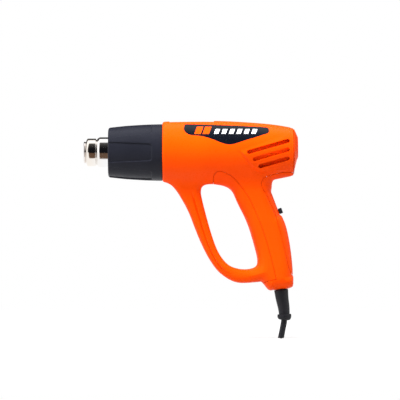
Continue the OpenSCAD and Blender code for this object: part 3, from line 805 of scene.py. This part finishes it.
def build_grips():
    """The grip inserts at the front and at the rear of the handle."""
    boxes = {
        "front_grip": ((142, -34, -160), (224, 34, -20)),
        "rear_grip": ((200, -32, -150), (246, 32, -21))}
    for name, sheet in (("front_grip", front_sheet), ("rear_grip", rear_sheet)):
        def field(x, y, z, sheet=sheet):
            outer = outer_field(x, y, z)
            layer = np.maximum(sheet(x, z), -(outer + SKIN))
            solid = common(layer, outer, np.maximum(0.6 * seam_depth(x, z), 0.02))
            solid = common(solid, -switch_slot(x, y, z), 0.4)
            for bx, bz in BOSSES:
                reach = np.hypot(x - bx, z - bz)
                solid = common(solid, -np.maximum(reach - HEAD_HOLE, SCREW_SEAT - y), 0.3)
            return solid

        carve(name + "_moulding", field, *boxes[name], 0.62, "root", "orange_grip", name)


def build_top_insert():
    """The strip let into the top of the body."""
    def field(x, y, z):
        body = body_field(x, y, z)
        plate = common(top_land(x, y, 0), body + 0.95, 0.35)
        return np.maximum(np.maximum(plate, -(body + 1.68)), 25 - z)

    lo, hi = cad_box("top_insert")
    carve("top_insert_strip", field, lo - 1.5, hi + 1.5, 0.3, "root", "orange_grip",
          "top_insert")


def build_rear_cap():
    """The domed cap that the gun stands on, closed by a slope at the bottom."""
    face, wall, bore = 17.5, 2.4, 21.6
    dome = Sheet(np.vstack([
        [(230, -8), (230, 27.1), (CAP_JOINT + 0.5, 27.1), (CAP_JOINT + 1.4, 25.3),
         (REAR_FACE - 0.5, face + 0.9)],
        arc((REAR_FACE - 0.9, face - 0.2), 0.9, 50, 0, 4), [(REAR_FACE, -8)]]), 0.2, 6)
    spigot = Sheet([(225, -8), (225, 23.7), (CAP_JOINT + 1, 23.7), (CAP_JOINT + 1, -8)], 0.2, 6)
    side = Sheet([(220, 60), (REAR_FACE + 20, 60), (REAR_FACE + 20, -6.1), (REAR_FACE, -6.1),
                  (245.3, -9.6), (243.5, -17.5), (242.7, -21.3), (242.4, -60), (220, -60)],
                 0.3, 2)

    def field(x, y, z):
        r = np.sqrt(y ** 2 + (z - BODY_Z) ** 2)
        shape = common(dome(x, r), side(x, z), 1.2)
        cup = np.maximum(shape, CAP_JOINT + 0.1 - x)
        neck = np.maximum(spigot(x, r), 236.7 - x)
        return np.maximum(np.minimum(cup, neck), -np.maximum(shape + wall, r - bore))

    carve("rear_cap_moulding", field, CAP_LO - 2.5, CAP_HI + (2, 2.5, 2.5), 0.45, "root",
          "orange_plastic", "rear_cap")


# ----------------------------------------
# Guard and nozzle
# ----------------------------------------
def build_guard():
    """The fluted shell around the hot tube."""
    front, rear = GUARD_LO[0], BODY_FRONT - 0.1
    side = spline([(front + 3.5, 30.3), (32, 31.3), (43.4, 32.4), (62.8, 33.6), (74, 34.0),
                   (rear - 0.5, 34.2)], 6)
    outer = np.vstack([
        arc((front + 3.5, 26.8), 3.5, 180, 90, 6)[:-1], side, [(rear, 33.8)]])
    shell = np.vstack([
        [(front, 21.0), (front, 24)], outer,
        [(rear, 30.1), (rear + 4.3, 30.1), (rear + 4.3, 31.3), (rear + 7.4, 31.3),
         (rear + 7.4, 27.6), (rear - 2, 27.6), (rear - 4, 31.8), (62.8, 31.2),
         (front + 6, 27.8), (front + 2.8, 25.6), (front + 2.8, 20.5), (front + 0.5, 20.5)]])
    shell_sheet = Sheet(shell, 0.25, 4)
    end, half, corner, depth = 72.6, 10.6, 3.4, 1.5
    flute = np.vstack([
        [(front - 9, -13.2), (66.0, -10.9)], arc((end - corner, corner - half), corner, -90, 0, 5),
        arc((end - corner, half - corner), corner, 0, 90, 5), [(66.0, 10.9), (front - 9, 13.2)]])
    flute_sheet = Sheet(flute, 0.3, 8)
    reach = np.vstack([[(front - 12, 30.1)], side, [(rear + 12, 34.2)]])

    def field(x, y, z):
        r = np.sqrt(y ** 2 + z ** 2)
        sector = math.pi / 3
        turn = np.mod(np.arctan2(z, y) + sector / 2, sector) - sector / 2
        across = r * np.sin(turn)
        recess = depth * step_up(-flute_sheet(x, across), -0.1, 1.4)
        return common(shell_sheet(x, r), r - np.interp(x, *reach.T) + recess, 0.9)

    carve("barrel_guard_moulding", field, GUARD_LO - 1.5, GUARD_HI + 1.5, 0.55, "root",
          "guard_plastic", "barrel_guard")


def build_nozzle():
    """The spun steel tube with its rolled lip, seat and bead."""
    wall = 1.0
    lip, seat, barrel = 13.0, 16.8, 18.4
    outside = np.vstack([
        arc((-8.5, lip - 1.3), 1.3, 180, 65, 7),
        spline([(-7.1, lip - 0.7), (-6.9, 13.4), (-6.4, 14.9), (-5.6, 16.1), (-4.65, 16.8)], 3),
        [(x, seat) for x in (-1.5, 1.6, 4.4)],
        spline([(4.7, 16.7), (5.0, 16.1), (5.25, 15.4), (5.75, 15.15), (6.15, 15.5), (6.5, 16.3),
                (7.3, 17.0), (8.3, 17.7), (9.1, 18.25), (10.2, barrel)], 3),
        [(x, barrel) for x in (24, 50, 76, 101.6)],
        arc((101.6, barrel + 1.0), 1.0, -90, 0, 4),
        [(102.8, 27.6), (103.0, 28.0), (103.8, 28.0), (104.0, 27.7)]])
    inside = np.vstack([
        [(104.0, barrel - wall + 0.6)], [(x, barrel - wall) for x in (103.4, 76, 50, 24, 11)],
        spline([(9.5, 17.2), (8.2, 16.5), (7.2, 15.9), (6.3, 14.6), (5.7, 14.1), (5.1, 14.3),
                (4.6, 15.2), (4.0, 15.75)], 3),
        [(x, seat - wall) for x in (1.6, -1.5, -4.4)],
        spline([(-5.0, 15.1), (-5.7, 13.9), (-6.1, 12.6), (-7.0, 12.0)], 3),
        [(-8.5, 11.9)]])
    points, faces = lathe(np.vstack([outside, inside]), segments=160)
    model("nozzle_tube_spun", points, faces, "nozzle_steel", ("nozzle_tube",), sharp=50)


def build_heating_coil():
    """A round-wire helix on the mica former."""
    start, end, turns, radius = 25.0, 92.0, 12, 12.2
    t = np.linspace(0, 1, turns * 40 + 1)
    angle = math.pi / 4 + 2 * math.pi * turns * t
    helix = np.stack([start + (end - start) * t, radius * np.cos(angle),
                      radius * np.sin(angle)], 1)
    points, faces = tube(helix, 0.45, 10)
    model("heating_coil_wire", points, faces, "heating_wire", ("heating_coil",))


# ----------------------------------------
# Decals
# ----------------------------------------
def body_skin(x, z, side, lift):
    """Point on the side of the round body, lifted off its surface."""
    r = body_radius(x) + lift
    y = np.sqrt(np.maximum(r ** 2 - (z - BODY_Z) ** 2, 0.0))
    return np.stack([x, side * y, z], -1)


def plate_on_body(low_edge, high_edge, side, bottom, top, columns, rows):
    """A thin plate bent to the body, between a lower and an upper edge of (x, z) points."""
    s = np.linspace(0, 1, columns + 1)
    low, high = (
        np.stack([np.interp(s, np.linspace(0, 1, len(edge)), edge[:, k]) for k in range(2)], 1)
        for edge in (low_edge, high_edge))
    t = np.linspace(0, 1, rows + 1)[None, :, None]
    grid = low[:, None, :] * (1 - t) + high[:, None, :] * t
    layers = [body_skin(grid[..., 0], grid[..., 1], side, lift).reshape(-1, 3)
              for lift in (bottom, top)]
    points = np.concatenate(layers)
    wide, count = rows + 1, len(layers[0])
    faces = []
    for i in range(columns):
        for j in range(rows):
            a = i * wide + j
            quad = (a, a + 1, a + wide + 1, a + wide)
            faces.append(quad[::-1])
            faces.append(tuple(count + k for k in quad))
    rim = ([i * wide for i in range(columns + 1)]
           + [columns * wide + j for j in range(1, rows + 1)]
           + [i * wide + rows for i in range(columns - 1, -1, -1)]
           + [j for j in range(rows - 1, 0, -1)])
    for a, b in zip(rim, rim[1:] + rim[:1]):
        faces.append((a, b, count + b, count + a))
    return points, faces


# Upper and lower edge of the decal, seen from the side
DECAL_TOP = spline([(111.2, 32.9), (113.5, 33.65), (135, 33.2), (160, 32.4), (184, 31.4),
                    (207, 30.25), (210.1, 29.6), (211.7, 28.1), (212.2, 26.0)], 10)
DECAL_LOW = spline([(110.2, 28.5), (110.8, 25.6), (113.2, 23.0), (118.5, 20.6), (131, 19.3),
                    (143, 16.0), (156, 10.9), (164, 9.2), (171, 10.1), (183, 14.0), (196, 18),
                    (206.5, 21.4), (210.2, 22.6), (211.8, 24.2), (212.2, 25.8)], 10)

# Finish, count, first place, width, spacing, and lowest and highest place of the bars
BARS = {"bright": ("orange_plastic", 2, 122.8, 7.6, 9.8, 21.8, 30.6),
        "pale": ("decal_marks", 6, 146.2, 5.2, 8.9, 22.0, 27.8)}


def evenly(line, count):
    """The same line, with its points spread evenly along it."""
    return points_at(line, np.linspace(0, run_of(line)[-1], count + 1))


def build_decals():
    """Printed panels on both sides, with plain slanted bars."""
    for side, name in ((-1, "decal_left"), (1, "decal_right")):
        columns, rows = 160, 22
        panel = plate_on_body(evenly(DECAL_LOW, columns), evenly(DECAL_TOP, columns), side,
                              -0.45, 0.06, columns, rows)
        model(name + "_panel", *panel, "decal_black", (name,))
        for kind, (ink, count, start, width, pitch, low, high) in BARS.items():
            bars = []
            for left in start + pitch * np.arange(count):
                lower = np.array([(left, low), (left + width, low)])
                upper = lower + (0.36 * (high - low), high - low)
                bars.append(plate_on_body(lower, upper, side, 0.02, 0.13, 4, 6))
            model(name + "_bars_" + kind, *joined(bars), ink, slot="decal_black")


# ----------------------------------------
# Switch, boot, cord and screws
# ----------------------------------------
def build_switch_button():
    """The ribbed thumb slide and its stem."""
    def field(x, y, z):
        out, up = switch_frame(x, z)
        pad = rounded_slab(np.maximum(np.abs(up) - 3.3, np.abs(y) - 6.0), np.abs(out - 2.5),
                           2.2, 0.5)
        crown = out - 4.7 + 0.03 * y ** 2 / 2
        ribs = 0.22 * np.cos(2 * np.pi * up / 1.5) * step_up(out, 2.6, 3.6)
        pad = common(pad, crown, 0.4) + ribs * step_up(-np.abs(y), -5.6, -5.0)
        stem = np.maximum(np.maximum(np.abs(up) - 2.2, np.abs(y) - 3.2),
                          np.maximum(out - 1.5, -5.5 - out))
        return union(pad, stem, 0.4)

    lo, hi = cad_box("switch_button")
    carve("switch_button_moulding", field, lo - 1.2, hi + 1.2, 0.2, "switch",
          "black_plastic", "switch_button")


# The middle of the boot and the cord, from inside the foot down to where it is cut
CORD_DROP = spline([
    BOOT_TOP + (-2.58, 22.9), BOOT_TOP + (-1.1, 10), BOOT_TOP, BOOT_TOP + (1.3, -11),
    (229.9, -184.5), (230.7, -192), (230.8, -197.5), (230.4, -203), (229.1, -210.1),
    (226.6, -222.9)], 10)


def cord_frame_at(s):
    """Centre and crossing directions at a distance down the cord from the foot."""
    zero = run_of(CORD_DROP)[np.argmin(np.linalg.norm(CORD_DROP - BOOT_TOP, axis=1))]
    before, place, after = points_at(CORD_DROP, zero + s + np.array([-0.5, 0.0, 0.5]))
    way = (after - before) / np.linalg.norm(after - before)
    return (np.array([place[0], 0, place[1]]), np.array([0, 1.0, 0]),
            np.array([way[1], 0, -way[0]]))


def build_boot():
    """The bend relief with its cup-shaped collar."""
    taper = [(s, 8.4 - 2.1 * (s - 1.2) / 31.0) for s in np.linspace(1.2, 32.2, 16)]
    profile = np.vstack([
        [(-8.4, 3.75), (-8.4, 7.4), (-8.1, 7.6), (-4.9, 7.6), (-4.6, 7.3), (-4.6, 6.3),
         (0.25, 6.3), (0.3, 7.8), (0.65, 8.2)], taper,
        spline([(32.9, 6.45), (32.7, 6.85), (31.6, 7.1), (30.4, 7.35), (30.1, 7.8), (30.8, 8.25),
                (32.6, 8.4), (34.4, 8.1), (35.9, 7.3), (36.8, 6.1), (37.0, 4.8), (36.7, 3.75)],
               4)])
    model("cord_boot_moulding", *lathe(profile, cord_frame_at, 72), "black_rubber",
          ("cord_boot",))


def build_cord():
    """The sheathed cord, cut off level, with the ends of its two cores showing."""
    path = np.array([cord_frame_at(s)[0] for s in np.arange(-22.5, 58.0, 0.8)])
    sides = 40
    outside, faces = tube(path, 3.6, sides)
    way = (path[-1] - path[-2]) / np.linalg.norm(path[-1] - path[-2])
    run = (CORD_CUT - outside[-sides:, 2]) / way[2]
    outside[-sides:] += run[:, None] * way
    model("cord_sheath_drawn", outside, faces, "black_rubber", ("cord_sheath",))
    end = path[-1] + (CORD_CUT - path[-1][2]) / way[2] * way
    cores, wires = [], []
    for side in (-1, 1):
        base = end + np.array([0, 1.55 * side, 0])
        cores.append(tube([base - 0.5 * way, base, base + 0.35 * way], 1.2, 20))
        for k in range(7):
            turn = 2 * math.pi * k / 6
            shift = np.array([0, math.cos(turn), 0]) + math.sin(turn) * np.array(
                [-way[2], 0, way[0]])
            shift = shift * (0.5 if k < 6 else 0.0)
            wires.append(tube([base + shift, base + shift + 0.5 * way], 0.24, 8))
    model("cord_end_cores", *joined(cores), "lead_brown")
    model("cord_end_wires", *joined(wires), "copper_winding")


def build_screws():
    """Seven cross-head screws that close the housing from the right."""
    def field(x, y, z):
        r = np.hypot(x, z)
        head = common(np.maximum(r - 2.8, -y), np.sqrt(r ** 2 + (y + 2.6) ** 2) - 4.5, 0.5)
        cross = 1e3
        for along, over in ((x, z), (z, x)):
            cross = np.minimum(cross, np.maximum(np.abs(along) - 0.42,
                                                 np.abs(over) - 0.9 * (y + 0.3)))
        head = common(head, -np.maximum(cross, 0.4 - y), 0.15)
        pitch = 1.3
        wave = np.mod(y / pitch + np.arctan2(z, x) / (2 * math.pi), 1.0)
        thread = 1.12 + 0.33 * (1 - np.abs(2 * wave - 1))
        shank = np.maximum(np.maximum(r - thread, y - 0.3), -13 - y)
        return union(head, shank, 0.2)

    points, quads = surface(field, (-3.2, -13.4, -3.2), (3.2, 2.4, 3.2), 0.2)
    copies = [(points + (bx, SCREW_SEAT + 0.02, bz), quads) for bx, bz in BOSSES]
    model("housing_screws_set", *joined(copies), "screw_steel", ("housing_screws",), sharp=35)


for build in (build_housing, build_grips, build_top_insert, build_rear_cap, build_guard,
              build_nozzle, build_heating_coil, build_decals, build_switch_button, build_boot,
              build_cord, build_screws):
    build()

# The other CAD nodes stay and get their finish
FINISHES = {
    "mica_sheet": ["mica_sleeve", "heater_former"], "ceramic_white": ["heater_base"],
    "brass_parts": ["heater_terminals", "commutator", "motor_bushes", "switch_terminals"],
    "motor_steel": ["thermal_cutout", "motor_shaft", "motor_can"],
    "screw_steel": ["flange_screws", "motor_screws", "clamp_screws"],
    "black_plastic": ["fan_shroud", "fan_impeller", "motor_end_cap", "switch_body",
                      "cable_clamp", "rectifier_diodes"],
    "lamination_steel": ["armature_core"], "magnet": ["motor_magnets"],
    "copper_winding": ["armature_windings"], "carbon": ["motor_brushes"],
    "board_green": ["rectifier_board"], "film_yellow": ["capacitor"],
    "white_plastic": ["switch_carriage"], "lead_brown": ["cord_cores", "internal_leads"],
}
for finish, names in FINISHES.items():
    for name in names:
        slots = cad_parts[name].data.materials
        slots.clear()
        slots.append(MATERIALS[finish])


# ----------------------------------------
# Stage, light and camera
# ----------------------------------------
def build_floor(height):
    """A plain pale floor that shows almost white."""
    size = 3.0
    mesh = bpy.data.meshes.new("floor")
    mesh.from_pydata([(-size, -size, height), (size, -size, height), (size, size, height),
                      (-size, size, height)], [], [(0, 1, 2, 3)])
    floor = bpy.data.objects.new("floor", mesh)
    bpy.context.scene.collection.objects.link(floor)
    floor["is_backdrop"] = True
    m, n = empty_material("pale_floor")
    tree = n.tree
    tone = n.mix(n.ramp(n.noise(2.0), 0.3, 0.7), (0.78, 0.78, 0.78), (0.75, 0.75, 0.75))
    seen = tree.nodes.new("ShaderNodeLightPath").outputs["Is Diffuse Ray"]
    tone = n.mix(seen, tone, (0.35, 0.35, 0.35))
    matt = n.put("BsdfDiffuse", Color=tone).outputs[0]
    glow = n.put("Emission", Strength=1.0).outputs[0]
    mix = tree.nodes.new("ShaderNodeMixShader")
    sight = tree.nodes.new("ShaderNodeLightPath").outputs["Is Camera Ray"]
    spread = n.put("VectorMath", Vector=n.place)
    spread.operation = "LENGTH"
    white = n.ramp(spread.outputs["Value"], 0.3, 1.2, 0.72, 1.0)
    tree.links.new(n.math("MULTIPLY", sight, white), mix.inputs[0])
    tree.links.new(matt, mix.inputs[1])
    tree.links.new(glow, mix.inputs[2])
    out = tree.nodes.new("ShaderNodeOutputMaterial")
    tree.links.new(mix.outputs[0], out.inputs[0])
    mesh.materials.append(m)
    floor.visible_glossy = False


def build_world():
    """White to the camera, soft for shading, and banded for reflections."""
    world = bpy.data.worlds.new("studio")
    bpy.context.scene.world = world
    world.use_nodes = True
    world.cycles.sampling_method = "NONE"
    tree = world.node_tree
    tree.nodes.clear()
    n = Nodes(tree)
    x, y, z = n.axes(tree.nodes.new("ShaderNodeTexCoord").outputs["Generated"])
    aside = n.ramp(n.math("ABSOLUTE", x), 0.2, 0.55, 0.0, 0.5)
    front = n.math("ADD", y, aside)
    dark = n.mix(n.ramp(front, -0.92, -0.2), (0.008, 0.008, 0.010), (0.085, 0.082, 0.078))
    strip = n.math("MULTIPLY", n.ramp(front, -0.28, -0.02), n.ramp(y, 0.60, 0.46))
    sky = n.mix(strip, dark, (1.4, 1.4, 1.4))
    amber = n.mix(n.ramp(z, -0.03, -0.16), dark, (0.15, 0.088, 0.055))
    low = n.mix(n.ramp(front, -0.72, -0.58), amber, (1.15, 1.15, 1.15))
    bands = n.mix(n.ramp(z, -0.02, 0.02), low, sky)
    path = tree.nodes.new("ShaderNodeLightPath")
    ambient = n.mix(n.ramp(z, -1.0, 1.0), (0.14, 0.14, 0.14), (1.0, 1.0, 1.0))
    soft = n.mix(path.outputs["Is Glossy Ray"], ambient, bands)
    colour = n.mix(path.outputs["Is Camera Ray"], soft, (1.0, 1.0, 1.0))
    light = n.put("Background", Color=colour, Strength=1.0)
    out = tree.nodes.new("ShaderNodeOutputWorld")
    tree.links.new(light.outputs[0], out.inputs[0])


def build_lamp(name, place, size, power):
    """A square softbox that faces the object and doesn't show in reflections."""
    data = bpy.data.lights.new(name, "AREA")
    data.shape = "SQUARE"
    data.size = size
    data.energy = power
    lamp = bpy.data.objects.new(name, data)
    lamp.location = place
    middle = Vector((0.12, 0, -0.06))
    lamp.rotation_euler = (middle - Vector(place)).to_track_quat("-Z", "Y").to_euler()
    lamp.visible_glossy = False
    bpy.context.scene.collection.objects.link(lamp)


def build_camera():
    """A long lens, level with the middle of the view and square on to the left side."""
    data = bpy.data.cameras.new("camera")
    data.lens = 300
    data.sensor_width = 36
    camera = bpy.data.objects.new("camera", data)
    frame_width = 0.480
    camera.location = (0.1296, -frame_width * data.lens / data.sensor_width, -0.0569)
    camera.rotation_euler = (math.pi / 2, 0, 0)
    bpy.context.scene.collection.objects.link(camera)
    bpy.context.scene.camera = camera


build_floor(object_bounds()[0][2] - 0.5 * MM)
build_world()
build_lamp("key_softbox", (-0.10, -0.46, 1.05), 0.7, 35.0)
build_lamp("fill_softbox", (0.10, -1.30, -0.45), 0.9, 3.2)
build_lamp("side_softbox", (-1.10, -0.70, 0.20), 0.6, 4.0)
build_lamp("rim_softbox", (0.30, 0.90, 0.60), 0.7, 4.0)
build_camera()
bpy.context.scene.view_settings.view_transform = "Standard"
